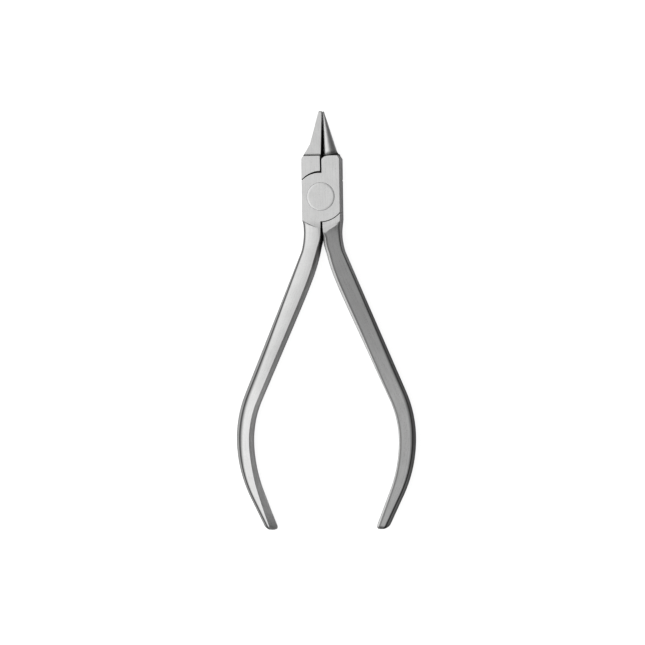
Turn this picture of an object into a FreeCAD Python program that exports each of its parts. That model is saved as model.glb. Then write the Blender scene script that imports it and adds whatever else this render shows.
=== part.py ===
import FreeCAD, Part
import math
import os
import Sketcher

# Lap-joint bending pliers, lying on the back face.
# Origin: pivot axis on the back face.  +Y towards the beak tips, +Z out of the front face.
# Both halves are drawn in the same local frame: beak at +X, handle at -X, lap disc in the
# upper layer.  The back half is then turned over about the Y axis.

doc = FreeCAD.newDocument("pliers")
V = FreeCAD.Vector

DIMS = [
    # joint block
    ("joint_thick", 8.0), ("block_half", 5.7), ("shoulder_y", 12.15), ("corner_w", 0.55),
    ("corner_l", 0.9), ("disc_rad", 7.42), ("relief_rad", 7.02), ("recess_rad", 7.6),
    ("lap_gap", 0.02), ("flat_end_y", -7.4), ("flat_end_w", 0.12), ("flat_end_l", 0.6),
    ("flat_rad", 9.4), ("flat_mid_angle", -112.0), ("flat_foot_y", -11.6),
    # neck and handle, plan view
    ("waist_half", 5.42), ("waist_y", -10.4), ("neck_rad", 21.0),
    ("out_lead", 22.8), ("out_bow_rad", 35.5), ("out_tail_rad", 40.1), ("out_bow_y", -72.0),
    ("out_bow_x", 26.68), ("out_tail", 25.6),
    ("in_lead", 24.1), ("in_bow_rad", 29.9), ("in_tail_rad", 40.1), ("in_bow_y", -72.6),
    ("in_bow_x", 22.06), ("in_tail", 21.6), ("parting_ease", 1.7), ("handle_end_y", -99.0),
    # handle section
    ("root_half_thick", 3.9), ("end_half_thick", 3.1), ("face_slope", 8.0),
    ("in_bevel", 0.8), ("out_bevel", 0.95), ("end_round", 1.1),
    # cone beak
    ("cone_base_x", 2.74), ("cone_base_y", 11.0), ("cone_base_rad", 2.485),
    ("cone_tip_x", 0.64), ("cone_tip_y", 25.45), ("cone_tip_rad", 0.2), ("tip_round", 0.17),
    ("flare_base_y", 12.0), ("flare_end_y", 13.3), ("flare_out", 0.2), ("flare_top_in", 0.3),
    ("inner_corner_x", 2.5), ("inner_corner_y", 10.95), ("inner_round_x", 1.06),
    ("inner_round_y", 11.73),
    # flat-sided beak
    ("flat_base_y", 11.6), ("flat_base_in", -0.02), ("flat_base_out", 5.05),
    ("flat_flare_y", 12.35), ("flat_flare_out", 5.3),
    ("flat_knee_y", 15.7), ("flat_knee_out", 3.33), ("flat_base_half_thick", 2.3),
    ("flat_tip_y", 25.55), ("flat_tip_in", -0.34), ("flat_tip_out", 0.75),
    ("flat_tip_half_thick", 0.7), ("flat_tip_round", 0.22), ("beak_edge", 0.12),
    # pivot
    ("head_rad", 4.15), ("head_thick", 2.2), ("shank_rad", 2.75), ("run_gap", 0.03),
    ("peen_deep", 0.55), ("head_rim", 0.05),
    # inner edges of the two halves
    ("front_step", 0.36), ("front_split", 0.17), ("front_part_start", 9.5),
    ("front_part_full", 15.5), ("back_step", 0.06), ("back_split", 0.40),
    ("back_part_start", 12.0), ("back_part_full", 17.5),
]

sheet = doc.addObject("Spreadsheet::Sheet", "Dims")
for row, (name, value) in enumerate(DIMS, start=1):
    sheet.set("A%d" % row, name)
    sheet.set("B%d" % row, str(value))
    sheet.setAlias("B%d" % row, name)
doc.recompute()


def dim(name):
    return float(sheet.get(name))


def plane(body, role):
    return next(f for f in body.Origin.OriginFeatures if f.Role == role)


def sketch_on(body, name, role, offset=None, expressions=()):
    sk = body.newObject("Sketcher::SketchObject", name)
    sk.AttachmentSupport = [(plane(body, role), "")]
    sk.MapMode = "FlatFace"
    if offset is not None:
        sk.AttachmentOffset = FreeCAD.Placement(offset, FreeCAD.Rotation())
    for path, formula in expressions:
        sk.setExpression(path, formula)
    return sk


def polygon(sk, points):
    for a, b in zip(points, points[1:] + points[:1]):
        sk.addGeometry(Part.LineSegment(V(a[0], a[1], 0), V(b[0], b[1], 0)), False)


def arc3(a, b, c):
    return Part.Arc(V(a[0], a[1], 0), V(b[0], b[1], 0), V(c[0], c[1], 0))


def outline(sk, path):
    """path: points, or ("arc", middle point) between two points."""
    items = path + [path[0]]
    i = 0
    while i < len(items) - 1:
        if items[i + 1][0] == "arc":
            sk.addGeometry(arc3(items[i], items[i + 1][1], items[i + 2]), False)
            i += 2
        else:
            a, b = items[i], items[i + 1]
            sk.addGeometry(Part.LineSegment(V(a[0], a[1], 0), V(b[0], b[1], 0)), False)
            i += 1


def circle(sk, *aliases):
    """Circle about the pivot whose radius is the sum of the named dimensions."""
    n = sk.addGeometry(Part.Circle(V(0, 0, 0), V(0, 0, 1), sum(dim(a) for a in aliases)), False)
    k = sk.addConstraint(Sketcher.Constraint("Radius", n, sk.Geometry[n].Radius))
    sk.setExpression("Constraints[%d]" % k, " + ".join("Dims." + a for a in aliases))


def on_circle(rad, degrees):
    a = math.radians(degrees)
    return (rad * math.cos(a), rad * math.sin(a))


def pad(body, sk, name, formula):
    p = body.newObject("PartDesign::Pad", name)
    p.Profile = sk
    p.setExpression("Length", formula)
    return p


def pocket(body, sk, name, formula, reverse):
    p = body.newObject("PartDesign::Pocket", name)
    p.Profile = sk
    p.setExpression("Length", formula)
    p.Reversed = reverse
    return p


# ---- plan outline of a handle as functions of y --------------------------------------
def bow(y, side):
    """Straight lead, round bow and straight tail of one long edge, all tangent."""
    bow_x, bow_y = dim(side + "_bow_x"), dim(side + "_bow_y")
    end, way = ("_lead", 1) if y > bow_y else ("_tail", -1)
    rad = dim(side + ("_bow_rad" if y > bow_y else "_tail_rad"))
    angle = math.radians(dim(side + end))
    beyond = way * (y - bow_y) - rad * math.sin(angle)
    if beyond > 0:
        return bow_x - rad * (1 - math.cos(angle)) - beyond * math.tan(angle)
    return bow_x - rad + math.sqrt(rad ** 2 - (y - bow_y) ** 2)


def outer_x(y):
    rad, mid = dim("neck_rad"), dim("waist_y")
    if y > mid - rad * math.sin(math.radians(dim("out_lead"))):
        neck = dim("waist_half") + rad - math.sqrt(rad ** 2 - (y - mid) ** 2)
        return max(bow(y, "out"), neck)
    return bow(y, "out")


def inner_x(y, side):
    """The two handles lie side by side at the joint and part along a soft curve."""
    ease, split = dim("parting_ease"), dim(side + "_split")
    start, full = dim(side + "_part_start"), dim(side + "_part_full")
    share = min(1.0, max(0.0, (-y - start) / (full - start)))
    away = ease * math.log(1 + math.exp((bow(y, "in") - split) / ease))
    return split + away * share * share * (3 - 2 * share)


def handle_section(y, side):
    """Bevelled section across a handle: points (x, z) with the handle at -X."""
    a, b = inner_x(y, side), outer_x(y)
    share = (dim("waist_y") - y) / (dim("waist_y") - dim("handle_end_y"))
    half = dim("root_half_thick") + max(0.0, share) * (
        dim("end_half_thick") - dim("root_half_thick"))
    drop = math.tan(math.radians(dim("face_slope"))) * (
        b - a - dim("in_bevel") - dim("out_bevel"))
    top = [(-a, half - dim("in_bevel")),
           (-a - dim("in_bevel"), half),
           (-b + dim("out_bevel"), half - drop),
           (-b, half - drop - dim("out_bevel"))]
    return top + [(x, -z) for x, z in reversed(top)]


STATIONS = (-6.8, -8.6, -10.4, -12.2, -14.5, -16.2, -18.0, -22.0, -28.0, -36.0, -45.0, -53.0,
            -58.5, -62.7, -67.0, -71.3, -75.5, -80.0, -85.0, -89.5, -94.0, -99.0)


def blank(body, side, step_corner):
    """Lap disc, half block, beak shoulder and handle, common to both halves."""
    hb, ys = dim("block_half"), dim("shoulder_y")
    step, split = dim(side + "_step"), dim(side + "_split")
    disc, relief = dim("disc_rad"), dim("relief_rad")
    up = 180 - math.degrees(math.acos(hb / disc))
    low = -math.degrees(math.acos(hb / disc))
    foot_out = (dim("flat_end_w") - hb, dim("flat_end_y"))
    foot_in = (-split, dim("flat_foot_y"))
    sk = sketch_on(body, body.Label + "_block_outline", "XY_Plane")
    outline(sk, step_corner + [
        (hb - dim("corner_w"), ys), (hb, ys - dim("corner_l")),
        on_circle(disc, low), ("arc", on_circle(disc, (low - 90) / 2)),
        (-split, -math.sqrt(disc ** 2 - split ** 2)),
        foot_in, ("arc", on_circle(dim("flat_rad"), dim("flat_mid_angle"))), foot_out,
        (-hb, foot_out[1] + dim("flat_end_l")), on_circle(disc, up),
        ("arc", on_circle((disc + relief) / 2, (up + 90) / 2)),
        (step, math.sqrt(relief ** 2 - step ** 2))])
    pad(body, sk, body.Label + "_block", "Dims.joint_thick")

    sections = []
    for number, y in enumerate(STATIONS, start=1):
        sk = sketch_on(body, "%s_section_%02d" % (body.Label, number), "XZ_Plane", V(0, 1, -y),
                       [(".AttachmentOffset.Base.y", "Dims.joint_thick / 2")])
        polygon(sk, handle_section(y, side))
        sections.append(sk)
    loft = body.newObject("PartDesign::AdditiveLoft", body.Label + "_handle")
    loft.Profile = sections[0]
    loft.Sections = sections[1:]

    # the lower layer is cleared for the other half's lap disc
    sk = sketch_on(body, body.Label + "_recess_outline", "XY_Plane")
    circle(sk, "recess_rad")
    pocket(body, sk, body.Label + "_recess", "Dims.joint_thick / 2 + Dims.lap_gap", True)
    doc.recompute()


def end_rounded(body):
    """Rounds the end of the handle."""
    last = body.Tip
    end_y = dim("handle_end_y")
    names = edges_where(last, lambda e: all(abs(v.Y - end_y) < 1e-3 for v in e.Vertexes))
    return dress(body, "PartDesign::Fillet", "Radius", last, names, "_end_round", "end_round")


def edges_where(feature, test):
    return ["Edge%d" % (i + 1) for i, e in enumerate(feature.Shape.Edges) if test(e)]


def dress(body, kind, size, base, names, suffix, alias):
    f = body.newObject(kind, body.Label + suffix)
    f.Base = (base, names)
    f.setExpression(size, "Dims." + alias)
    doc.recompute()
    return f


# ---- front half: cone beak -------------------------------------------------------------
front = doc.addObject("PartDesign::Body", "front_half")
front.Label = "front_half"
step, ys = dim("front_step"), dim("shoulder_y")
corner = [(step, dim("inner_corner_y")), ("arc", (dim("inner_round_x"), dim("inner_round_y"))),
          (dim("inner_corner_x"), ys)]
blank(front, "front", corner)
end_rounded(front)

lean = V(dim("cone_tip_x") - dim("cone_base_x"), dim("cone_tip_y") - dim("cone_base_y"), 0)
turn = FreeCAD.Rotation(V(0, 0, 1), lean)
taper = (dim("cone_base_rad") - dim("cone_tip_rad")) / lean.Length


def cone(name, along, length, rad_low, rad_high, out=0.0):
    """Round beak piece starting a given distance up the beak's own leaning axis."""
    c = front.newObject("PartDesign::AdditiveCone", name)
    c.AttachmentSupport = [(plane(front, "XY_Plane"), "")]
    c.MapMode = "FlatFace"
    start = V(dim("cone_base_x") + out, dim("cone_base_y"), dim("joint_thick") / 2)
    c.AttachmentOffset = FreeCAD.Placement(start + lean / lean.Length * along, turn)
    c.Radius1, c.Radius2, c.Height, c.Angle = rad_low, rad_high, length, 360
    doc.recompute()
    return c


beak = cone("front_half_cone", 0.0, lean.Length, dim("cone_base_rad"), dim("cone_tip_rad"))
tip = edges_where(beak, lambda e: all(abs(v.Y - dim("cone_tip_y")) < dim("tip_round")
                                      for v in e.Vertexes))
dress(front, "PartDesign::Fillet", "Radius", beak, tip, "_tip", "tip_round")
up_low = dim("flare_base_y") - dim("cone_base_y")
up_high = dim("flare_end_y") - dim("cone_base_y")
cone("front_half_flare", up_low, up_high - up_low,
     dim("cone_base_rad") - taper * up_low + dim("flare_out"),
     dim("cone_base_rad") - taper * up_high - dim("flare_top_in"), dim("flare_out"))

sk = sketch_on(front, "front_half_bore_outline", "XY_Plane", V(0, 0, 1),
               [(".AttachmentOffset.Base.z", "Dims.joint_thick")])
circle(sk, "shank_rad", "run_gap")
pocket(front, sk, "front_half_bore", "Dims.joint_thick", False)
sk = sketch_on(front, "front_half_head_seat_outline", "XY_Plane", V(0, 0, 1),
               [(".AttachmentOffset.Base.z", "Dims.joint_thick")])
circle(sk, "head_rad", "run_gap")
pocket(front, sk, "front_half_head_seat", "Dims.head_thick + Dims.lap_gap", False)
doc.recompute()

# ---- back half: flat-sided beak, drawn face down and turned over -----------------------
back = doc.addObject("PartDesign::Body", "back_half")
back.Label = "back_half"
step = dim("back_step")
blank(back, "back", [(step, ys)])
end_rounded(back)

FLAT_OUTLINE = [(dim(name + "_y"), dim(name + "_out"))
                for name in ("flat_base", "flat_flare", "flat_knee", "flat_tip")]


def flat_outer(y):
    """Outer edge of the flat-sided beak: straight between its four named points."""
    for (low, x_low), (high, x_high) in zip(FLAT_OUTLINE, FLAT_OUTLINE[1:]):
        if y <= high:
            return x_low + (y - low) / (high - low) * (x_high - x_low)
    return FLAT_OUTLINE[-1][1]


def flat_section(y, inset=0.0):
    """Edge-broken rectangle across the flat-sided beak, drawn in by the inset."""
    share = (y - dim("flat_base_y")) / (dim("flat_tip_y") - dim("flat_base_y"))
    a = dim("flat_base_in") + share * (dim("flat_tip_in") - dim("flat_base_in"))
    half = dim("flat_base_half_thick") + share * (
        dim("flat_tip_half_thick") - dim("flat_base_half_thick"))
    a, b, half, c = a + inset, flat_outer(y) - inset, half - inset, dim("beak_edge")
    top = [(a, half - c), (a + c, half), (b - c, half), (b, half - c)]
    return top + [(x, -z) for x, z in reversed(top)]


TIP_SHARE = 0.3  # where the facet that stands for the tip's rounding turns over
round_y, tip_y = dim("flat_tip_round"), dim("flat_tip_y")
BEAK_CUTS = [(dim("flat_base_y"), 0.0), (dim("flat_flare_y"), 0.0), (dim("flat_knee_y"), 0.0),
             (tip_y - round_y, 0.0), (tip_y - round_y * TIP_SHARE, round_y * TIP_SHARE),
             (tip_y, round_y)]
for number, ends in enumerate(zip(BEAK_CUTS, BEAK_CUTS[1:]), start=1):
    pair = []
    for end, (y, inset) in zip(("low", "high"), ends):
        sk = sketch_on(back, "back_half_beak_%d_%s" % (number, end), "XZ_Plane", V(0, 1, -y),
                       [(".AttachmentOffset.Base.y", "Dims.joint_thick / 2")])
        polygon(sk, flat_section(y, inset))
        pair.append(sk)
    loft = back.newObject("PartDesign::AdditiveLoft", "back_half_beak_%d" % number)
    loft.Profile, loft.Sections, loft.Ruled = pair[0], pair[1:], True
    doc.recompute()

sk = sketch_on(back, "back_half_bore_outline", "XY_Plane", V(0, 0, 1),
               [(".AttachmentOffset.Base.z", "Dims.joint_thick")])
circle(sk, "shank_rad")
bore = pocket(back, sk, "back_half_bore", "Dims.joint_thick", False)
doc.recompute()
rim = edges_where(bore, lambda e: abs(e.BoundBox.ZMin - dim("joint_thick")) < 1e-6
                  and abs(e.BoundBox.ZMax - dim("joint_thick")) < 1e-6
                  and abs(e.BoundBox.XLength - 2 * dim("shank_rad")) < 1e-3)
dress(back, "PartDesign::Chamfer", "Size", bore, rim, "_peen_seat", "peen_deep")
back.Placement = FreeCAD.Placement(V(0, 0, dim("joint_thick")),
                                   FreeCAD.Rotation(V(0, 1, 0), 180))
back.setExpression(".Placement.Base.z", "Dims.joint_thick")

# ---- pivot pin: flush head in the front half, spread end in the back half ---------------
pin = doc.addObject("PartDesign::Body", "pivot_pin")
pin.Label = "pivot_pin"
top, under, rim = dim("joint_thick"), dim("joint_thick") - dim("head_thick"), dim("head_rim")
sk = sketch_on(pin, "pivot_pin_profile", "XZ_Plane")
polygon(sk, [(0, 0), (dim("shank_rad") + dim("peen_deep"), 0), (dim("shank_rad"), dim("peen_deep")),
             (dim("shank_rad"), under), (dim("head_rad"), under), (dim("head_rad"), top - rim),
             (dim("head_rad") - rim, top), (0, top)])
turned = pin.newObject("PartDesign::Revolution", "pivot_pin_turned")
turned.Profile = sk
turned.ReferenceAxis = (sk, ["V_Axis"])
turned.Angle = 360
doc.recompute()

# ---- checks and export -----------------------------------------------------------------
bad = [o.Label for o in doc.Objects if "Invalid" in o.State or "Error" in o.State]
if bad:
    raise RuntimeError("features that did not build: " + ", ".join(bad))
os.makedirs("parts", exist_ok=True)
for body in (front, back, pin):
    shape = body.Shape
    if shape.isNull() or not shape.isValid() or len(shape.Solids) != 1:
        raise RuntimeError(body.Label + " is not one valid solid")
    shape.exportStep("parts/%s.step" % body.Label)
    print(body.Label, round(shape.Volume, 1), shape.BoundBox)
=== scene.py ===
import bpy
import bmesh
import math
from mathutils import Matrix, Vector


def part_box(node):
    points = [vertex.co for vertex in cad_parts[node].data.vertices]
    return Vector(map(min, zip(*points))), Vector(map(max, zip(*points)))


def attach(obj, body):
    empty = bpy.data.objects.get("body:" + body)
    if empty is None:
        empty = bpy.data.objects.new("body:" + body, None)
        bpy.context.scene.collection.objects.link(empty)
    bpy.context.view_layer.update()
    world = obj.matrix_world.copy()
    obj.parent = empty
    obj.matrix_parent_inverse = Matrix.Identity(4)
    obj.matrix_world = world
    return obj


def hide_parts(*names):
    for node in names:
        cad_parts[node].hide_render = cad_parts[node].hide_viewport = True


# Lap-joint pliers with a cone beak and a flat-sided beak.  Sizes are in millimetres and angles
# in degrees; a finished mesh goes to metres.  Both halves are drawn in one local frame, as the
# CAD draws them: beak at +X, handle at -X, lap disc in the upper layer.  The back half is then
# turned over about the Y axis.  A pair called ..._REACH holds two distances below the pivot,
# between which something changes from its first to its second value.

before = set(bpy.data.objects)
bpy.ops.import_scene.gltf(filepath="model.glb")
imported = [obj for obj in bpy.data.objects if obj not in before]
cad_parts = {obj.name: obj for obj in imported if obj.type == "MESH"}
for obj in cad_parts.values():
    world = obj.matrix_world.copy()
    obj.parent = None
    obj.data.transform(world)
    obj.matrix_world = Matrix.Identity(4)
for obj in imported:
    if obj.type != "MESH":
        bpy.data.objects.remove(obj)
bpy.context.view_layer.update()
MM = 0.001

# ---- sizes taken from the frame ---------------------------------------------------------
front_low, front_high = (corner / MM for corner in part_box("front_half"))
back_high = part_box("back_half")[1] / MM
pin_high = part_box("pivot_pin")[1] / MM
THICK = front_high.z
MID = THICK / 2
BLOCK_HALF = front_high.x
END_Y = front_low.y
BOW_X = back_high.x
CONE_TIP_Y = front_high.y
FLAT_TIP_Y = back_high.y
HEAD_RAD = pin_high.x

# ---- sizes of the plan outline ----------------------------------------------------------
SHOULDER_Y = 12.15                  # the block ends and the beaks begin
CORNER_W, CORNER_L = 0.55, 0.9      # sloping corner beside the shoulder, across and along
CORNER_ROUND = 0.3
DISC_RAD, RELIEF_RAD, RECESS_RAD = 7.42, 7.02, 7.6
RECESS_FLARE = 0.06
EDGE = 0.09                         # broken edge round the block
LAP_GAP = 0.02
FOOT_RAD = 9.4                      # arc that ends the block over the handle's foot
FOOT_OUT_Y, FOOT_OUT_RISE = -7.4, 0.6
FOOT_STEP_OUT, FOOT_STEP_DOWN = 0.55, 0.4
FOOT_STEP_REACH, FOOT_STEP_ACROSS = (6.9, 7.3), (1.0, 3.4)
SIDE_EASE, FOOT_EASE = 0.02, 0.12   # keep a handle's edges off the block's own
NECK_HALF, NECK_Y, NECK_RAD = 5.42, -10.4, 21.0
OUTER = {"x": BOW_X, "y": -72.0, "lead": 22.8, "rad": 35.5, "tail_rad": 40.1, "tail": 25.6}
INNER = {"x": 22.06, "y": -72.6, "lead": 24.1, "rad": 29.9, "tail_rad": 40.1, "tail": 21.6}
PARTING_EASE = 1.7
FRONT_INNER_CORNER = ((0.62, 11.45, 0.5), (1.3, 11.88, 0.8), (2.5, SHOULDER_Y, 1.5))
FRONT_STEP_TOP, FRONT_STEP_ROUND, BACK_STEP_ROUND = 10.95, 0.3, 0.2

# ---- sizes of the handle section --------------------------------------------------------
HANDLE_START, SECTION_PITCH = -6.8, 0.5
ROOT_HALF, END_HALF, END_ROUND = 3.9, 3.1, 1.25
FACE_SLOPE_NECK, FACE_SLOPE = math.tan(math.radians(12.0)), math.tan(math.radians(8.0))
OUT_BEVEL_SLOPE = math.tan(math.radians(32))
SWELL_Y = -7.4
LINE_HALF, LINE_DEEP, LINE_AT_ROOT = 0.13, 0.05, 0.15
LINE_EASE = 0.02
UNDER_FLAT = 0.004                  # the main face stays this far below the block's flat
LEAST_WALL, LEAST_FACE, MOST_OUT_BEVEL = 0.3, 0.35, 0.3
WALL_ROUND, CREASE_ROUND, LINE_FLOOR_ROUND = 0.45, 0.3, 0.06
OUT_LINE_ROUND, OUT_WALL_ROUND = 0.12, 0.6
IN_BOW_REACH, IN_TAIL_REACH = (36, 60), (78, 99)
OUT_BOW_REACH, OUT_TAIL_REACH = (8, 50), (60, 95)
SLOPE_REACH, LINE_REACH = (8, 16), (11, 18)

# ---- beaks ------------------------------------------------------------------------------
CONE_BASE = Vector((2.74, 11.0, MID))
CONE_TIP = Vector((0.64, CONE_TIP_Y, MID))
CONE_BASE_RAD, CONE_TIP_RAD = 2.485, 0.2
CONE_TIP_ROUND, CONE_TIP_TURN = 0.9 * CONE_TIP_RAD, 85
CONE_COVE, CONE_COVE_SIDE, FLAT_COVE = 1.5, 0.35, 0.75
FLAT_CUTS = ((11.6, 5.05), (12.35, 5.3), (15.7, 3.33), (FLAT_TIP_Y, 0.75))
FLAT_BASE_Y = FLAT_CUTS[0][0]
FLAT_IN_BASE, FLAT_IN_TIP = -0.02, -0.34
FLAT_HALF_BASE, FLAT_HALF_TIP = 2.3, 0.7
FLAT_EDGE, FLAT_TIP_ROUND = 0.16, 0.3

# ---- pivot ------------------------------------------------------------------------------
HEAD_THICK, SHANK_RAD, RUN_GAP, PEEN = 2.2, 2.75, 0.03, 0.55
SEAT_EDGE, HEAD_EDGE, PEEN_EDGE = 0.04, 0.05, 0.05
EDGE_KNEE = 0.3                     # share of a broken edge at which its facet bends
CAP_RAD, HEAD_FLAT = 0.02, 0.6      # middle cap of each end face; inset of the head's flat
OVERSHOOT = 1                       # how far a cutter stands past the metal

# ---- fineness of the meshes -------------------------------------------------------------
ROUND_STEPS, EDGE_STEPS, END_STEPS, COVE_STEPS, TIP_STEPS = 4, 6, 7, 9, 5
CONE_STEPS, CONE_SIDES, FLAT_STEPS = 40, 64, 36
LATHE_SIDES, RECESS_SIDES, ARC_PITCH = 96, 160, 3
LEAST_CUT, MOST_CUT = 0.03, 0.48    # of a rounded corner: in mm, and as a share of its sides
LEAST_LEAN = 0.35
SHARP_ANGLE, NORMAL_WEIGHT = 38, 80

# ---- painted shade and light, blasting and grain ----------------------------------------
FAR = 5.0                           # a distance at which no line is seen
BLAST_EASE = 0.05
# reach of the painted shade in the shoulder crease
CREASE_WIDE, CREASE_ACROSS, CREASE_CORE = 0.4, (1.6, 4.4), 0.1
OUT_CLEAR = 0.5                     # the outer edge reads at least this far from the line
# how the painted shade of the outer fine line fades along the handle
LINE_FADE, LINE_FADE_OUT, LINE_FADE_BACK = 0.5, (30, 55), (70, 88)
GRAIN_REACH = (8, 12)
# painted shade on the handle faces, and painted light where a share is below 0
OUT_BEVEL_SHADE, OUT_SHADE_REACH = 1.7, (12, 40)
IN_SHADE_REACH, IN_SHADE_END = (7.4, 9), (45, 65)
FLAT_SHADE, LEAD_SHADE, TAIL_SHADE = 0.3, 0.72, -0.6
LEAD_SHADE_REACH, TAIL_SHADE_REACH = (10, 16), (30, 68)

# What differs between the halves.  step: where the inner corner stands off the middle line;
# split: gap to it along the handles; parting: where below the pivot the handles part; swell,
# swell_length, swell_power: extra height of the handle's root and how it dies away; foot_step,
# foot_round: how the block ends over the handle; in_bevels: widths at the neck, along the lead,
# in the bow and at the end, the first change lying over in_bevel_start; out_bevels: widths at
# the neck, in the bow and at the end; in_slope: slope of the inner bevel; inner_line: share of
# the fine line's depth on the inner edge; inner_round: rounding beside it; shade: how painted
# shade and painted light lie on the face; gap_side: side of the beak gap; nip, crease_end: how
# far painted shade spreads there and in the shoulder crease.
HALVES = {
    "front": {"step": 0.36, "split": 0.17, "parting": (9.5, 15.5), "swell": 0.42,
              "swell_length": 6.0, "swell_power": 1, "foot_step": 1.0, "foot_round": 0.2,
              "in_bevels": (0.15, 0.75, 0.75, 2.1), "in_bevel_start": (11.0, 20.0),
              "out_bevels": (0.35, 1.1, 0.85), "in_slope": math.tan(math.radians(54)),
              "inner_line": 0.0, "inner_round": 0.3, "shade": "inward", "gap_side": 1,
              "nip": (0.15, 0.5), "crease_end": 1.9},
    "back": {"step": 0.06, "split": 0.40, "parting": (12.0, 17.5), "swell": 1.18,
             "swell_length": 2.74, "swell_power": 2, "foot_step": 0.0, "foot_round": 1.4,
             "in_bevels": (0.2, 0.95, 0.45, 0.75), "in_bevel_start": (9.8, 12.6),
             "out_bevels": (0.12, 0.3, 0.8), "in_slope": math.tan(math.radians(35)),
             "inner_line": 1.0, "inner_round": 0.12, "shade": "whole", "gap_side": -1,
             "nip": (0.05, 0.15), "crease_end": 0.4},
}


def ramp(value, low, high):
    """0 at low, 1 at high, smooth between."""
    t = min(1.0, max(0.0, (value - low) / (high - low)))
    return t * t * (3 - 2 * t)


def mix(a, b, share):
    return a + (b - a) * share


def quarter_turn(steps, first=1):
    """Angles up to a quarter turn, in equal steps."""
    return [math.radians(90 * k / steps) for k in range(first, steps + 1)]


# ---- plan outline of a handle as functions of y -----------------------------------------
def bow(y, edge):
    """Straight lead, round bow and straight tail of one long edge, all tangent."""
    upper = y > edge["y"]
    rad = edge["rad"] if upper else edge["tail_rad"]
    angle = math.radians(edge["lead"] if upper else edge["tail"])
    away = abs(y - edge["y"])
    beyond = away - rad * math.sin(angle)
    if beyond > 0:
        return edge["x"] - rad * (1 - math.cos(angle)) - beyond * math.tan(angle)
    return edge["x"] - rad + math.sqrt(rad ** 2 - away ** 2)


def outer_x(y):
    if y < NECK_Y - NECK_RAD * math.sin(math.radians(OUTER["lead"])):
        return bow(y, OUTER)
    neck = NECK_HALF + NECK_RAD - math.sqrt(NECK_RAD ** 2 - (y - NECK_Y) ** 2)
    return max(bow(y, OUTER), neck)


def inner_x(y, half):
    """The two handles lie side by side at the joint and part along a soft curve."""
    split = half["split"]
    away = PARTING_EASE * math.log(1 + math.exp((bow(y, INNER) - split) / PARTING_EASE))
    return split + away * ramp(-y, *half["parting"])


# ---- outlines with rounded corners ------------------------------------------------------
def rounded(corners, closed=True):
    """Corner list (x, y, radius) to points; a rounded corner gets ROUND_STEPS + 1 of them."""
    points = []
    count = len(corners)
    for i, (x, y, rad) in enumerate(corners):
        here = Vector((x, y))
        if rad <= 0 or (not closed and i in (0, count - 1)):
            points.append(here)
            continue
        before = Vector(corners[i - 1][:2]) - here
        after = Vector(corners[(i + 1) % count][:2]) - here
        half_angle = before.angle(after) / 2
        reach = max(LEAST_CUT, rad / math.tan(half_angle))
        reach = min(reach, MOST_CUT * before.length, MOST_CUT * after.length)
        start = here + before.normalized() * reach
        end = here + after.normalized() * reach
        pull = math.sin(half_angle)
        for k in range(ROUND_STEPS + 1):
            t = k / ROUND_STEPS
            weights = ((1 - t) ** 2, 2 * pull * t * (1 - t), t ** 2)
            points.append((start * weights[0] + here * weights[1] + end * weights[2])
                          / sum(weights))
    return points


def arc(rad, start, end, end_rad=None):
    """Points round the pivot, from start to end in degrees, drawing in to end_rad."""
    count = max(2, int(abs(end - start) / ARC_PITCH))
    points = []
    for k in range(count + 1):
        angle = math.radians(mix(start, end, k / count))
        reach = mix(rad, end_rad or rad, k / count)
        points.append((reach * math.cos(angle), reach * math.sin(angle), 0.0))
    return points


# ---- meshes -----------------------------------------------------------------------------
def solid(name, rings):
    """Closed mesh skinned over rings of equal length, with flat ends."""
    size = len(rings[0])
    mesh = bpy.data.meshes.new(name)
    faces = []
    for r in range(len(rings) - 1):
        for k in range(size):
            n = (k + 1) % size
            faces.append((r * size + k, r * size + n, (r + 1) * size + n, (r + 1) * size + k))
    faces.append(tuple(range(size - 1, -1, -1)))
    faces.append(tuple(range((len(rings) - 1) * size, len(rings) * size)))
    mesh.from_pydata([tuple(p) for ring in rings for p in ring], [], faces)
    bm = bmesh.new()
    bm.from_mesh(mesh)
    bmesh.ops.recalc_face_normals(bm, faces=bm.faces)
    bm.to_mesh(mesh)
    bm.free()
    piece = bpy.data.objects.new(name, mesh)
    bpy.context.scene.collection.objects.link(piece)
    return piece


def inset(points, depths):
    """Moves every point of a closed outline inward by its own depth."""
    area = sum(a.x * b.y - b.x * a.y for a, b in zip(points, points[1:] + points[:1]))
    side = 1 if area > 0 else -1
    moved = []
    for i, p in enumerate(points):
        a = (p - points[i - 1]).normalized()
        b = (points[(i + 1) % len(points)] - p).normalized()
        normal = Vector((-(a.y + b.y), a.x + b.x)) * side
        normal.normalize()
        lean = max(LEAST_LEAN, Vector((-a.y, a.x)).dot(normal) * side)
        moved.append(p + normal * (depths[i] / lean))
    return moved


def prism(name, outline, cove):
    """Full-height solid on an outline; its edges are rounded, or coved where cove(point) is 1."""
    rings = []
    shares = [cove(p) for p in outline]
    for t in quarter_turn(EDGE_STEPS, 0):
        depths = [mix(EDGE * (1 - math.sin(t)), FOOT_STEP_OUT * math.cos(t), c) for c in shares]
        downs = [mix(EDGE * (1 - math.cos(t)), FOOT_STEP_DOWN * math.sin(t), c) for c in shares]
        rings.append([(p.x, p.y, z) for p, z in zip(inset(outline, depths), downs)])
    rings += [[(x, y, THICK - z) for x, y, z in ring] for ring in reversed(rings)]
    return solid(name, rings)


def lathe(name, profile, sides=LATHE_SIDES):
    """Solid turned about the pivot axis from (radius, height) points."""
    rings = []
    for rad, z in profile:
        rings.append([(rad * math.cos(math.tau * k / sides),
                       rad * math.sin(math.tau * k / sides), z) for k in range(sides)])
    return solid(name, rings)


def combine(base, tool, how):
    """Boolean of two closed meshes; the tool is used up."""
    step = base.modifiers.new("combine", "BOOLEAN")
    step.operation = how
    step.solver = "EXACT"
    step.object = tool
    bake(base)
    bpy.data.objects.remove(tool)


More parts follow.
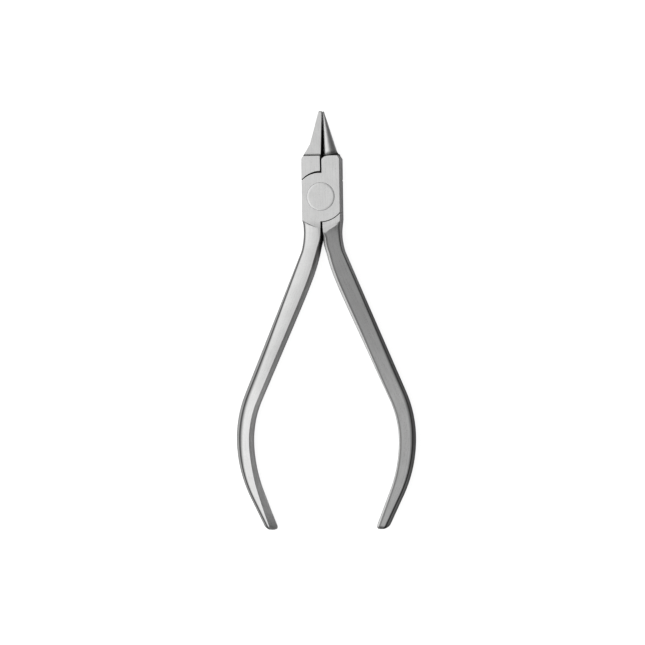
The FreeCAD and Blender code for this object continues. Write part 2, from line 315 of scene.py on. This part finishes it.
def bake(piece):
    """Turns a piece's modifiers into its own mesh."""
    graph = bpy.context.evaluated_depsgraph_get()
    mesh = bpy.data.meshes.new_from_object(piece.evaluated_get(graph))
    piece.modifiers.clear()
    piece.data = mesh


# ---- handle -----------------------------------------------------------------------------
def main_face(y, half, shrink=0.0):
    """Inner edge, start and end of the main face, and outer edge, all as distances from x 0."""
    side = BLOCK_HALF - SIDE_EASE if y > FOOT_OUT_Y else BOW_X
    a = inner_x(y, half) + shrink
    b = min(outer_x(y), side) - shrink
    neck, lead, middle, end = half["in_bevels"]
    in_bevel = mix(neck, lead, ramp(-y, *half["in_bevel_start"]))
    in_bevel = mix(in_bevel, middle, ramp(-y, *IN_BOW_REACH))
    in_bevel = mix(in_bevel, end, ramp(-y, *IN_TAIL_REACH))
    neck, middle, end = half["out_bevels"]
    out_bevel = mix(neck, middle, ramp(-y, *OUT_BOW_REACH))
    out_bevel = mix(out_bevel, end, ramp(-y, *OUT_TAIL_REACH))
    out_bevel = min(out_bevel, MOST_OUT_BEVEL * (b - a))
    in_bevel = min(in_bevel, b - a - out_bevel - LEAST_FACE)
    return a, a + in_bevel, b - out_bevel, b


def handle_section(y, half, shrink=0.0):
    """Ring of (x, y, z) points across a handle, drawn in by shrink on every side."""
    a, start, end, b = main_face(y, half, shrink)
    share = max(0.0, (NECK_Y - y) / (NECK_Y - END_Y))
    ridge = mix(ROOT_HALF, END_HALF, share) - shrink
    away = max(0.0, SWELL_Y - y) / half["swell_length"]
    ridge += half["swell"] * math.exp(-away ** half["swell_power"])
    slope = mix(FACE_SLOPE_NECK, FACE_SLOPE, ramp(-y, *SLOPE_REACH))
    line = LINE_HALF * mix(LINE_AT_ROOT, 1.0, ramp(-y, *LINE_REACH))
    deep = LINE_DEEP * ramp(-y, *LINE_REACH)
    in_round = half["inner_round"]

    def height(at):
        return min(MID - UNDER_FLAT, ridge - slope * (at - a))

    # the main face is level from its inner edge to the crease and slopes down from there
    low, high = start + line + LINE_EASE, end - line - LINE_EASE
    crease = min(max(a + (ridge - MID) / slope, mix(low, high, 0.1)), mix(low, high, 0.9))
    in_wall = max(LEAST_WALL, height(start) - (start - a) * half["in_slope"])
    out_wall = height(end) - (b - end) * OUT_BEVEL_SLOPE
    corners = [
        (-a, 0.0, 0.0),
        (-a, in_wall, WALL_ROUND),
        (-start + line * 0.5, height(start) - line * 0.5 * half["in_slope"], in_round),
        (-start, height(start) - deep * half["inner_line"], LINE_FLOOR_ROUND),
        (-start - line, height(start + line), in_round),
        (-crease, height(crease), CREASE_ROUND),
        (-end + line, height(end - line), OUT_LINE_ROUND),
        (-end, height(end) - deep, LINE_FLOOR_ROUND),
        (-end - line, height(end) - line * OUT_BEVEL_SLOPE, OUT_LINE_ROUND),
        (-b, out_wall, OUT_WALL_ROUND),
        (-b, 0.0, 0.0)]
    upper = rounded(corners, closed=False)
    lower = [Vector((p.x, -p.y)) for p in reversed(upper[1:-1])]
    return [(p.x, y, MID + p.y) for p in upper + lower]


def handle(half):
    end = END_Y + END_ROUND
    count = int((HANDLE_START - end) / SECTION_PITCH)
    places = [(mix(HANDLE_START, end, k / count), 0.0) for k in range(count + 1)]
    for t in quarter_turn(END_STEPS):
        places.append((END_Y + END_ROUND * (1 - math.sin(t)), END_ROUND * (1 - math.cos(t))))
    return solid("handle", [handle_section(y, half, shrink) for y, shrink in places])


# ---- joint block ------------------------------------------------------------------------
def block(half, inner_corner):
    """Lap disc, half block and shoulder; the recess is cut once the handle is on."""
    hb, split, step = BLOCK_HALF, half["split"], half["step"]
    side_angle = math.degrees(math.acos(hb / DISC_RAD))
    low_end = -90 - math.degrees(math.asin(split / DISC_RAD))
    foot_start = -90 - math.degrees(math.asin(split / FOOT_RAD))
    foot_end = -90 - math.degrees(math.asin((hb - FOOT_EASE) / FOOT_RAD))
    step_end = 90 - math.degrees(math.asin(step / RELIEF_RAD))
    corners = inner_corner + [(hb - CORNER_W, SHOULDER_Y, CORNER_ROUND),
                              (hb, SHOULDER_Y - CORNER_L, CORNER_ROUND)]
    corners += arc(DISC_RAD, -side_angle, low_end) + arc(FOOT_RAD, foot_start, foot_end)
    corners += [(-hb, FOOT_OUT_Y + FOOT_OUT_RISE, half["foot_round"])]
    corners += arc(DISC_RAD, 180 - side_angle, step_end, RELIEF_RAD)

    def cove(p):
        return half["foot_step"] * ramp(-p.y, *FOOT_STEP_REACH) * ramp(-p.x, *FOOT_STEP_ACROSS)

    return prism("block", rounded(corners), cove)


def recess():
    """Cutter for the layer that clears the other half's lap disc."""
    mouth = RECESS_RAD + RECESS_FLARE
    knee = RECESS_FLARE * EDGE_KNEE
    profile = [(mouth + OVERSHOOT, -OVERSHOOT), (mouth, 0.0), (RECESS_RAD + knee, knee),
               (RECESS_RAD, RECESS_FLARE), (RECESS_RAD, MID + LAP_GAP)]
    return lathe("recess", profile, RECESS_SIDES)


# ---- beaks ------------------------------------------------------------------------------
def cove_steps(start, rad):
    """Places past the shoulder and how far a hollow fillet still stands out there."""
    return [(start + rad * (1 - math.cos(t)), rad * (1 - math.sin(t)))
            for t in quarter_turn(COVE_STEPS, 0)]


def cone_beak():
    axis = CONE_TIP - CONE_BASE
    length = axis.length
    axis.normalize()
    side = axis.cross(Vector((0, 0, 1)))
    shoulder = (SHOULDER_Y - CONE_BASE.y) / axis.y
    top = shoulder + CONE_COVE

    def radius(s):
        return mix(CONE_BASE_RAD, CONE_TIP_RAD, s / length)

    # distance along the axis, radius and how far the hollow fillet stands out
    cuts = [(s, radius(s), flare)
            for s, flare in [(0.0, CONE_COVE)] + cove_steps(shoulder, CONE_COVE)]
    for k in range(1, CONE_STEPS + 1):
        s = mix(top, length - CONE_TIP_ROUND, k / CONE_STEPS)
        cuts.append((s, radius(s), 0.0))
    for k in range(1, TIP_STEPS + 1):
        t = math.radians(CONE_TIP_TURN * k / TIP_STEPS)
        rad = radius(length - CONE_TIP_ROUND)
        cuts.append((length - CONE_TIP_ROUND * (1 - math.sin(t)), rad * math.cos(t), 0.0))
    rings = []
    for s, rad, flare in cuts:
        ring = []
        for k in range(CONE_SIDES):
            turn = math.tau * k / CONE_SIDES
            across, upward = math.cos(turn), math.sin(turn)
            reach = rad + flare * (upward ** 2 + CONE_COVE_SIDE * max(0.0, across) ** 2)
            ring.append(CONE_BASE + axis * s + side * (reach * across)
                        + Vector((0, 0, reach * upward)))
        rings.append(ring)
    return solid("cone", rings)


def flat_outer(y):
    """Outer edge of the flat-sided beak, straight between its cuts."""
    for (low, x_low), (high, x_high) in zip(FLAT_CUTS, FLAT_CUTS[1:]):
        if y <= high:
            return mix(x_low, x_high, (y - low) / (high - low))
    return FLAT_CUTS[-1][1]


def flat_inner(y):
    """Inner edge of the flat-sided beak, which backs away from the cone towards the tip."""
    return mix(FLAT_IN_BASE, FLAT_IN_TIP, (y - FLAT_BASE_Y) / (FLAT_TIP_Y - FLAT_BASE_Y))


def flat_beak():
    top, tip = SHOULDER_Y + FLAT_COVE, FLAT_TIP_Y - FLAT_TIP_ROUND
    # place along the beak, how far it is drawn in, and how far the hollow fillet stands out
    cuts = [(FLAT_BASE_Y, 0.0, FLAT_COVE)]
    cuts += [(y, 0.0, flare) for y, flare in cove_steps(SHOULDER_Y, FLAT_COVE)]
    cuts += [(mix(top, tip, k / FLAT_STEPS), 0.0, 0.0) for k in range(1, FLAT_STEPS + 1)]
    cuts += [(FLAT_TIP_Y - FLAT_TIP_ROUND * (1 - math.sin(t)),
              FLAT_TIP_ROUND * (1 - math.cos(t)), 0.0) for t in quarter_turn(TIP_STEPS)]
    rings = []
    for y, shrink, flare in cuts:
        share = (y - FLAT_BASE_Y) / (FLAT_TIP_Y - FLAT_BASE_Y)
        a = flat_inner(y) + shrink
        b = flat_outer(y) - shrink
        tall = mix(FLAT_HALF_BASE, FLAT_HALF_TIP, share) - shrink + flare
        ring = rounded([(x, z, FLAT_EDGE)
                        for x, z in ((a, -tall), (b, -tall), (b, tall), (a, tall))])
        rings.append([(p.x, y, MID + p.y) for p in ring])
    return solid("flat", rings)


# ---- assembling the pieces --------------------------------------------------------------
def painted_face_shade(x, y, half):
    """How much painted shade lies on a handle's face: 0 none, more is darker, below 0 painted
    light.
    """
    _, start, end, _ = main_face(y, half)
    across = min(1.0, max(0.0, (-x - start) / (end - start)))
    if half["shade"] == "inward" and -x > end:
        return OUT_BEVEL_SHADE * ramp(-y, *OUT_SHADE_REACH)
    if half["shade"] == "inward":
        return (1 - across) * ramp(-y, *IN_SHADE_REACH) * (1 - ramp(-y, *IN_SHADE_END))
    shade = mix(FLAT_SHADE, LEAD_SHADE, ramp(-y, *LEAD_SHADE_REACH))
    shade = mix(shade, TAIL_SHADE, ramp(-y, *TAIL_SHADE_REACH))
    return shade if start < -x < end else 0.0


def mark_grain(piece, half):
    """Three vectors a point, read by the material, in the half's own frame and millimetres.

    grain: a place in a space where the handle runs straight.  face_lines: the distance inside
    the main face's inner edge and its outer edge, which places the painted shade of the fine
    lines, and 1 where the surface is blasted.  The third: painted shade in the nip and the
    shoulder crease, and how much painted shade lies on the face, below 0 painted light."""
    mesh = piece.data
    for name in ("grain", "face_lines", "painted_shade_and_light"):
        mesh.attributes.new(name, "FLOAT_VECTOR", "POINT")
    grain, lines, painted_shade_and_light = [mesh.attributes[name] for name in ("grain", "face_lines", "painted_shade_and_light")]
    for i, v in enumerate(mesh.vertices):
        x, y, z = v.co
        # block and beaks: blasted beaks, and painted shade in the nip and the shoulder crease
        if y > FOOT_OUT_Y:
            blast = ramp(y, SHOULDER_Y - BLAST_EASE, SHOULDER_Y + BLAST_EASE)
            nip = 1 - ramp(x + half["gap_side"] * flat_inner(y), *half["nip"])
            reach = mix(CREASE_WIDE, half["crease_end"], ramp(x, *CREASE_ACROSS))
            crease = 1 - ramp(y - SHOULDER_Y, CREASE_CORE * reach, reach)
            grain.data[i].vector = (x, y, z)
            lines.data[i].vector = (FAR, FAR, blast)
            painted_shade_and_light.data[i].vector = (blast * max(nip, crease), 0.0, 0.0)
            continue
        a, start, end, b = main_face(y, half)
        middle = mix(0.0, (a + b) / 2 - NECK_HALF / 2, ramp(-y, *GRAIN_REACH))
        # distances that place the painted shade of the fine lines
        inner = -x - start if half["inner_line"] and y < NECK_Y else FAR
        fade = 1 - LINE_FADE * ramp(-y, *LINE_FADE_OUT) * (1 - ramp(-y, *LINE_FADE_BACK))
        outer = (end + x) * (fade if x > -end else max(1.0, OUT_CLEAR / (b - end)))
        grain.data[i].vector = (x + middle, y, z)
        lines.data[i].vector = (inner, outer, 0.0)
        # painted shade and painted light on the handle's face
        painted_shade_and_light.data[i].vector = (0.0, painted_face_shade(x, y, half), 0.0)


def finish_piece(piece, name, body, node, material, turned=False):
    """Names a piece, takes it to its place and to metres, ties it to its body and hides its node.
    """
    piece.name = name
    piece.data.name = name
    if turned:
        turn = Matrix.Translation((0, 0, THICK)) @ Matrix.Rotation(math.pi, 4, "Y")
        piece.data.transform(turn)
    piece.data.transform(Matrix.Scale(MM, 4))
    piece.data.shade_smooth()
    piece.data.set_sharp_from_angle(angle=math.radians(SHARP_ANGLE))
    weigh = piece.modifiers.new("weigh", "WEIGHTED_NORMAL")
    weigh.mode = "FACE_AREA_WITH_ANGLE"
    weigh.keep_sharp = True
    weigh.weight = NORMAL_WEIGHT
    bake(piece)
    piece.data.materials.clear()
    piece.data.materials.append(material)
    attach(piece, body)
    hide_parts(node)


def front_piece(material):
    half = HALVES["front"]
    corner = [(half["step"], FRONT_STEP_TOP, FRONT_STEP_ROUND)] + list(FRONT_INNER_CORNER)
    piece = block(half, corner)
    combine(piece, handle(half), "UNION")
    combine(piece, cone_beak(), "UNION")
    combine(piece, recess(), "DIFFERENCE")
    seat = HEAD_RAD + RUN_GAP
    bore = SHANK_RAD + RUN_GAP
    floor_z = THICK - HEAD_THICK - LAP_GAP
    knee = SEAT_EDGE * EDGE_KNEE
    profile = [(bore, -OVERSHOOT), (bore, floor_z), (seat, floor_z), (seat, THICK - SEAT_EDGE),
               (seat + knee, THICK - knee), (seat + SEAT_EDGE, THICK),
               (seat + SEAT_EDGE + OVERSHOOT, THICK + OVERSHOOT)]
    combine(piece, lathe("seat", profile), "DIFFERENCE")
    mark_grain(piece, half)
    finish_piece(piece, "front_half_forging", "front_lever", "front_half", material)


def back_piece(material):
    half = HALVES["back"]
    piece = block(half, [(half["step"], SHOULDER_Y, BACK_STEP_ROUND)])
    combine(piece, handle(half), "UNION")
    combine(piece, flat_beak(), "UNION")
    combine(piece, recess(), "DIFFERENCE")
    profile = [(SHANK_RAD, -OVERSHOOT), (SHANK_RAD, THICK - PEEN),
               (SHANK_RAD + PEEN + OVERSHOOT, THICK + OVERSHOOT)]
    combine(piece, lathe("bore", profile), "DIFFERENCE")
    mark_grain(piece, half)
    finish_piece(piece, "back_half_forging", "back_lever", "back_half", material, turned=True)


def pin_piece(material):
    under = THICK - HEAD_THICK
    knee = HEAD_EDGE * EDGE_KNEE
    profile = [(CAP_RAD, 0.0), (SHANK_RAD + PEEN - PEEN_EDGE, 0.0),
               (SHANK_RAD + PEEN, PEEN_EDGE), (SHANK_RAD, PEEN), (SHANK_RAD, under),
               (HEAD_RAD, under), (HEAD_RAD, THICK - HEAD_EDGE), (HEAD_RAD - knee, THICK - knee),
               (HEAD_RAD - HEAD_EDGE, THICK), (HEAD_RAD - HEAD_FLAT, THICK), (CAP_RAD, THICK)]
    piece = lathe("pin", profile)
    mark_grain(piece, HALVES["front"])
    finish_piece(piece, "pivot_pin_rivet", "back_lever", "pivot_pin", material)


# ---- materials --------------------------------------------------------------------------
# A row maps the first pair of values to the second pair, held at both ends.
STEEL_TONE = 0.66
MOTTLE_TONE = (0.3, 0.7, STEEL_TONE - 0.025, STEEL_TONE + 0.025)
STREAK_TONE, CLOUD_TONE = (0.3, 0.7, 0.95, 1.05), (0.3, 0.7, 0.97, 1.03)
# the first row: painted shade on the handle faces, and painted light below 0
SHADE_TONE, BLAST_TONE = (-1.0, 2.0, 1.28, 0.44), (0.0, 1.0, 1.0, 1.08)
# painted shade of the fine lines, by distance to them
INNER_PAST, INNER_BEFORE = (0.02, 0.14, 0.25, 1.0), (0.0, 0.7, 0.3, 1.0)
OUTER_PAST, OUTER_BEFORE = (0.04, 0.45, 0.12, 1.0), (-0.02, 0.55, 0.1, 1.0)
# painted shade in crevices, and in the nip and the shoulder crease
CREVICE_PAINTED_SHADE, NIP_PAINTED_SHADE = (0.15, 0.7, 0.03, 1.0), (0.0, 1.0, 1.0, 0.08)
# edges rubbed smooth and lightened by a painted highlight, kept out of the painted shade of the
# nip and crease
RUBBED_AND_HIGHLIT, RUBBED_BY_NIP_SHADE = (0.98, 0.80, 0.0, 1.0), (0.0, 0.5, 1.0, 0.0)
SPECKLE_ROUGH, STREAK_ROUGH = (0.3, 0.7, 0.27, 0.35), (0.3, 0.7, -0.02, 0.03)
# the second value is a painted highlight added on rubbed edges
BLUE_SHARE, RUBBED_PAINTED_HIGHLIGHT, RUBBED_SMOOTH, BLAST_ROUGH = 0.995, 0.06, 0.06, 0.1
CREVICE_WIDE, RUBBED_WIDE, GRAIN_DEEP = 4 * MM, 0.22 * MM, 0.012 * MM
MOTTLE_SCALE, SPECKLE_SCALE, CLOUD_SCALE, STREAK_STRETCH = 2.4, 7.0, 0.35, (2.6, 0.16, 2.6)
MOTTLE_HIGH, SPECKLE_HIGH, STREAK_HIGH = 0.5, 0.25, 0.5


class Nodes:
    """Short calls for wiring one material's node tree."""

    def __init__(self, tree):
        self.tree = tree

    def add(self, kind, inputs=None, **settings):
        node = self.tree.nodes.new(kind)
        for key, value in settings.items():
            setattr(node, key, value)
        for key, value in (inputs or {}).items():
            if isinstance(value, bpy.types.NodeSocket):
                self.link(value, node, key)
            else:
                node.inputs[key].default_value = value
        return node

    def link(self, value, node, key):
        self.tree.links.new(value, node.inputs[key])

    def math(self, operation, a, b=0.0):
        return self.add("ShaderNodeMath", {0: a, 1: b}, operation=operation).outputs[0]

    def multiply(self, *values):
        product = values[0]
        for value in values[1:]:
            product = self.math("MULTIPLY", product, value)
        return product

    def noise(self, vector, scale, detail=2.0):
        node = self.add("ShaderNodeTexNoise", {"Vector": vector, "Scale": scale, "Detail": detail})
        return node.outputs["Fac"]

    def remap(self, value, low, high, to_low, to_high, smooth=False):
        node = self.add("ShaderNodeMapRange", {"Value": value, "From Min": low, "From Max": high,
                                               "To Min": to_low, "To Max": to_high})
        node.interpolation_type = "SMOOTHSTEP" if smooth else "LINEAR"
        return node.outputs["Result"]

    def attribute(self, name):
        return self.add("ShaderNodeAttribute", attribute_name=name).outputs["Vector"]

    def split(self, vector):
        return self.add("ShaderNodeSeparateXYZ", {0: vector}).outputs

    def grey(self, tone, blue=None):
        blue = tone if blue is None else blue
        node = self.add("ShaderNodeCombineColor", {"Red": tone, "Green": tone, "Blue": blue})
        return node.outputs["Color"]


def painted_line_shade(n, lines):
    """Painted shade in the fine line along each long edge of the main faces."""
    past_inner = n.remap(n.multiply(lines["X"], -1.0), *INNER_PAST, smooth=True)
    inner = n.math("MAXIMUM", past_inner, n.remap(lines["X"], *INNER_BEFORE, smooth=True))
    past_outer = n.remap(n.multiply(lines["Y"], -1.0), *OUTER_PAST, smooth=True)
    outer = n.math("MAXIMUM", n.remap(lines["Y"], *OUTER_BEFORE, smooth=True), past_outer)
    return n.multiply(inner, outer)


def painted_crevice_shade(n, painted_shade_and_light):
    """Painted shade in crevices, in the nip between the beaks and in the shoulder crease."""
    crevice = n.add("ShaderNodeAmbientOcclusion", {"Distance": CREVICE_WIDE}, samples=6)
    seam = n.remap(crevice.outputs["AO"], *CREVICE_PAINTED_SHADE, smooth=True)
    return n.multiply(seam, n.remap(painted_shade_and_light["X"], *NIP_PAINTED_SHADE))


def rubbed_edges_and_highlight(n, painted_shade_and_light):
    """1 on rubbed edges with a painted highlight, where a softened normal leaves the true one."""
    soft = n.add("ShaderNodeBevel", {"Radius": RUBBED_WIDE}, samples=4)
    sharp = n.add("ShaderNodeNewGeometry")
    match = n.add("ShaderNodeVectorMath", {0: soft.outputs["Normal"], 1: sharp.outputs["Normal"]},
                  operation="DOT_PRODUCT")
    rubbed_and_highlit = n.remap(match.outputs["Value"], *RUBBED_AND_HIGHLIT)
    return n.multiply(rubbed_and_highlit, n.remap(painted_shade_and_light["X"], *RUBBED_BY_NIP_SHADE))


def satin_steel(name):
    """Ground and blasted stainless steel: mottled grain, streaks along the handle, worn edges
    with a painted highlight, and painted shade and light in the fine lines, crevices and on the
    faces.
    """
    m = bpy.data.materials.new(name)
    m.use_nodes = True
    n = Nodes(m.node_tree)
    shader = m.node_tree.nodes["Principled BSDF"]
    grain = n.attribute("grain")
    lines = n.split(n.attribute("face_lines"))
    # painted shade in the nip and the crease, and painted shade and light on the faces
    painted_shade_and_light = n.split(n.attribute("painted_shade_and_light"))
    stretched = n.add("ShaderNodeMapping", {"Vector": grain, "Scale": STREAK_STRETCH})
    mottle = n.noise(grain, MOTTLE_SCALE, detail=3.0)
    speckle = n.noise(grain, SPECKLE_SCALE)
    cloud = n.noise(grain, CLOUD_SCALE, detail=3.0)
    streak = n.noise(stretched.outputs["Vector"], 1.0, detail=4.0)
    # painted shade in crevices, the nip and the shoulder crease
    crevice_shade = painted_crevice_shade(n, painted_shade_and_light)
    rubbed_and_highlit = rubbed_edges_and_highlight(n, painted_shade_and_light)

    # steel tone with random mottle and streaks, darkened by painted shade on the faces, in the
    # fine lines and in crevices
    tone = n.multiply(n.remap(mottle, *MOTTLE_TONE), n.remap(streak, *STREAK_TONE),
                      n.remap(cloud, *CLOUD_TONE), n.remap(painted_shade_and_light["Y"], *SHADE_TONE),
                      n.remap(lines["Z"], *BLAST_TONE), painted_line_shade(n, lines), crevice_shade)
    # painted highlight on the rubbed edges
    tone = n.math("ADD", tone, n.multiply(rubbed_and_highlit, RUBBED_PAINTED_HIGHLIGHT))
    rough = n.math("ADD", n.remap(speckle, *SPECKLE_ROUGH), n.remap(streak, *STREAK_ROUGH))
    rough = n.math("SUBTRACT", rough, n.multiply(rubbed_and_highlit, RUBBED_SMOOTH))
    rough = n.math("ADD", rough, n.multiply(lines["Z"], BLAST_ROUGH))
    fine = n.math("ADD", n.multiply(speckle, SPECKLE_HIGH), n.multiply(streak, STREAK_HIGH))
    height = n.math("ADD", n.multiply(mottle, MOTTLE_HIGH), fine)
    bump = n.add("ShaderNodeBump", {"Height": height, "Strength": 1.0, "Distance": GRAIN_DEEP})

    n.link(n.grey(tone, n.multiply(tone, BLUE_SHARE)), shader, "Base Color")
    # painted shade also dims the reflection in crevices, the nip and the crease
    n.link(n.grey(crevice_shade), shader, "Specular Tint")
    n.link(rough, shader, "Roughness")
    n.link(bump.outputs["Normal"], shader, "Normal")
    shader.inputs["Metallic"].default_value = 1.0
    return m


# ---- camera, floor and light ------------------------------------------------------------
TILT, ROLL = math.radians(7.8), math.radians(0.9)
CAMERA_AWAY = 1.0                   # metres
ACROSS = Vector((math.cos(TILT), 0, -math.sin(TILT)))
ALONG = Vector((0, 1, 0))
BACK = Vector((math.sin(TILT), 0, math.cos(TILT)))
FIELD = 191.41665                   # width of the picture at the joint's front face
AIM_ACROSS, AIM_ALONG = -0.04, -37.41
SENSOR = 36.0
FLOOR_HALF, DOME_RAD, BOUNCE_DROP = 4.0, 4.0, 0.0001             # metres
FLOOR_GREY, FLOOR_GLOW, DOME_GLOW = 0.5, 0.9, 0.93
# the bounce card is dark right of the object as a painted shadow, seen only in reflections
CARD_LIGHT, CARD_PAINTED_SHADOW, CARD_GLOW = 0.85, 0.12, 0.06
CARD_EDGE = (0.006, 0.016)          # metres to the right of the pivot
# painted shadow on the floor where the object almost closes over it
CONTACT_WIDE, CONTACT_SHADE = 8 * MM, (0.04, 0.11, 0.0, 1.0)


def camera():
    right = ACROSS * math.cos(ROLL) - ALONG * math.sin(ROLL)
    up = ACROSS * math.sin(ROLL) + ALONG * math.cos(ROLL)
    aim = Vector((0, 0, THICK)) + ACROSS * AIM_ACROSS + ALONG * AIM_ALONG
    cam = bpy.data.objects.new("camera", bpy.data.cameras.new("camera"))
    bpy.context.scene.collection.objects.link(cam)
    turn = Matrix((right, up, BACK)).transposed().to_4x4()
    cam.matrix_world = Matrix.Translation(aim * MM + BACK * CAMERA_AWAY) @ turn
    cam.data.sensor_width = SENSOR
    cam.data.lens = SENSOR * CAMERA_AWAY / (FIELD * MM)
    cam.data.clip_start = CAMERA_AWAY / 20
    cam.data.clip_end = CAMERA_AWAY * 10
    bpy.context.scene.camera = cam


def floor_plane(name, height, material):
    mesh = bpy.data.meshes.new(name)
    s = FLOOR_HALF
    mesh.from_pydata([(-s, -s, height), (s, -s, height), (s, s, height), (-s, s, height)],
                     [], [(0, 1, 2, 3)])
    plane = bpy.data.objects.new(name, mesh)
    bpy.context.scene.collection.objects.link(plane)
    mesh.materials.append(material)
    return plane


def pale(name, grey, glow):
    """Matt grey without any shine, lit up by its own glow."""
    m = bpy.data.materials.new(name)
    m.use_nodes = True
    shader = m.node_tree.nodes["Principled BSDF"]
    shader.inputs["Base Color"].default_value = (grey, grey, grey, 1)
    shader.inputs["Roughness"].default_value = 0.9
    shader.inputs["Specular IOR Level"].default_value = 0.0
    shader.inputs["Emission Color"].default_value = (1, 1, 1, 1)
    shader.inputs["Emission Strength"].default_value = glow
    return m


def shown_floor_material():
    """White floor with a painted shadow where the object almost closes over it."""
    m = pale("floor_shown", FLOOR_GREY, FLOOR_GLOW)
    n = Nodes(m.node_tree)
    shader = m.node_tree.nodes["Principled BSDF"]
    closed = n.add("ShaderNodeAmbientOcclusion", {"Distance": CONTACT_WIDE}, samples=16)
    # painted shadow: the floor's glow and colour fall where the object closes over it
    open_sky = n.remap(closed.outputs["AO"], *CONTACT_SHADE, smooth=True)
    n.link(n.multiply(open_sky, FLOOR_GLOW), shader, "Emission Strength")
    n.link(n.grey(n.multiply(open_sky, FLOOR_GREY)), shader, "Base Color")
    return m


def bounce_material():
    """White card under and left of the object, dark to its right as a painted shadow."""
    m = pale("floor_bounce", CARD_LIGHT, CARD_GLOW)
    n = Nodes(m.node_tree)
    shader = m.node_tree.nodes["Principled BSDF"]
    place = n.split(n.add("ShaderNodeTexCoord").outputs["Object"])
    # dark to the right: painted shadow
    tone = n.remap(place["X"], *CARD_EDGE, CARD_LIGHT, CARD_PAINTED_SHADOW, smooth=True)
    n.link(n.grey(tone), shader, "Base Color")
    return m


# radiance of the studio round the object: degrees from straight up towards +X, brightness
SKY = ((-180, 0.5), (-90, 1.1), (-60, 1.1), (-35, 1.25), (-22, 1.3), (-8, 1.02), (0, 0.68),
       (8, 0.42), (20, 0.24), (35, 0.19), (60, 0.19), (90, 0.2), (180, 0.12))
SKY_TOP = 1.5
SKY_ENDS = (0.45, 0.8, SKY_TOP, SKY_TOP * 0.12)
SKY_FLAG = (0.86, 0.97, 1.0, 0.15)


def sky():
    """Soft light from above and the left, falling away to the right and towards both ends."""
    world = bpy.data.worlds.new("world")
    world.use_nodes = True
    n = Nodes(world.node_tree)
    way = n.split(n.add("ShaderNodeTexCoord").outputs["Generated"])
    angle = n.math("ARCTAN2", way["X"], way["Z"])
    place = n.remap(angle, -math.pi, math.pi, 0.0, 1.0)
    round_sky = n.add("ShaderNodeValToRGB", {"Fac": place})
    stops = round_sky.color_ramp.elements
    while len(stops) < len(SKY):
        stops.new(0.5)
    for stop, (degrees, radiance) in zip(stops, SKY):
        stop.position = (degrees + 180) / 360
        stop.color = (radiance / SKY_TOP,) * 3 + (1,)
    ends = n.remap(n.math("ABSOLUTE", way["Y"]), *SKY_ENDS, smooth=True)
    flag = n.remap(way["X"], *SKY_FLAG, smooth=True)
    background = world.node_tree.nodes["Background"]
    n.link(round_sky.outputs["Color"], background, "Color")
    n.link(n.multiply(ends, flag), background, "Strength")
    bpy.context.scene.world = world


def backdrop():
    """Pale dome behind everything, seen by the camera alone."""
    mesh = bpy.data.meshes.new("backdrop")
    bm = bmesh.new()
    bmesh.ops.create_icosphere(bm, subdivisions=4, radius=DOME_RAD)
    bm.to_mesh(mesh)
    bm.free()
    dome = bpy.data.objects.new("backdrop", mesh)
    bpy.context.scene.collection.objects.link(dome)
    mesh.materials.append(pale("backdrop", 0.0, DOME_GLOW))
    return dome


def studio():
    """One floor for the camera to see, and cards and sky that only light the object."""
    shown = floor_plane("floor", 0.0, shown_floor_material())
    bounce = floor_plane("floor_bounce", -BOUNCE_DROP, bounce_material())
    bounce.visible_camera = False
    for seen_only in (shown, backdrop()):
        seen_only.visible_glossy = False
        seen_only.visible_diffuse = False
        seen_only.visible_shadow = False
    sky()
    bpy.context.scene.view_settings.view_transform = "Standard"


camera()
studio()
steel = satin_steel("satin_steel")
front_piece(steel)
back_piece(steel)
pin_piece(steel)
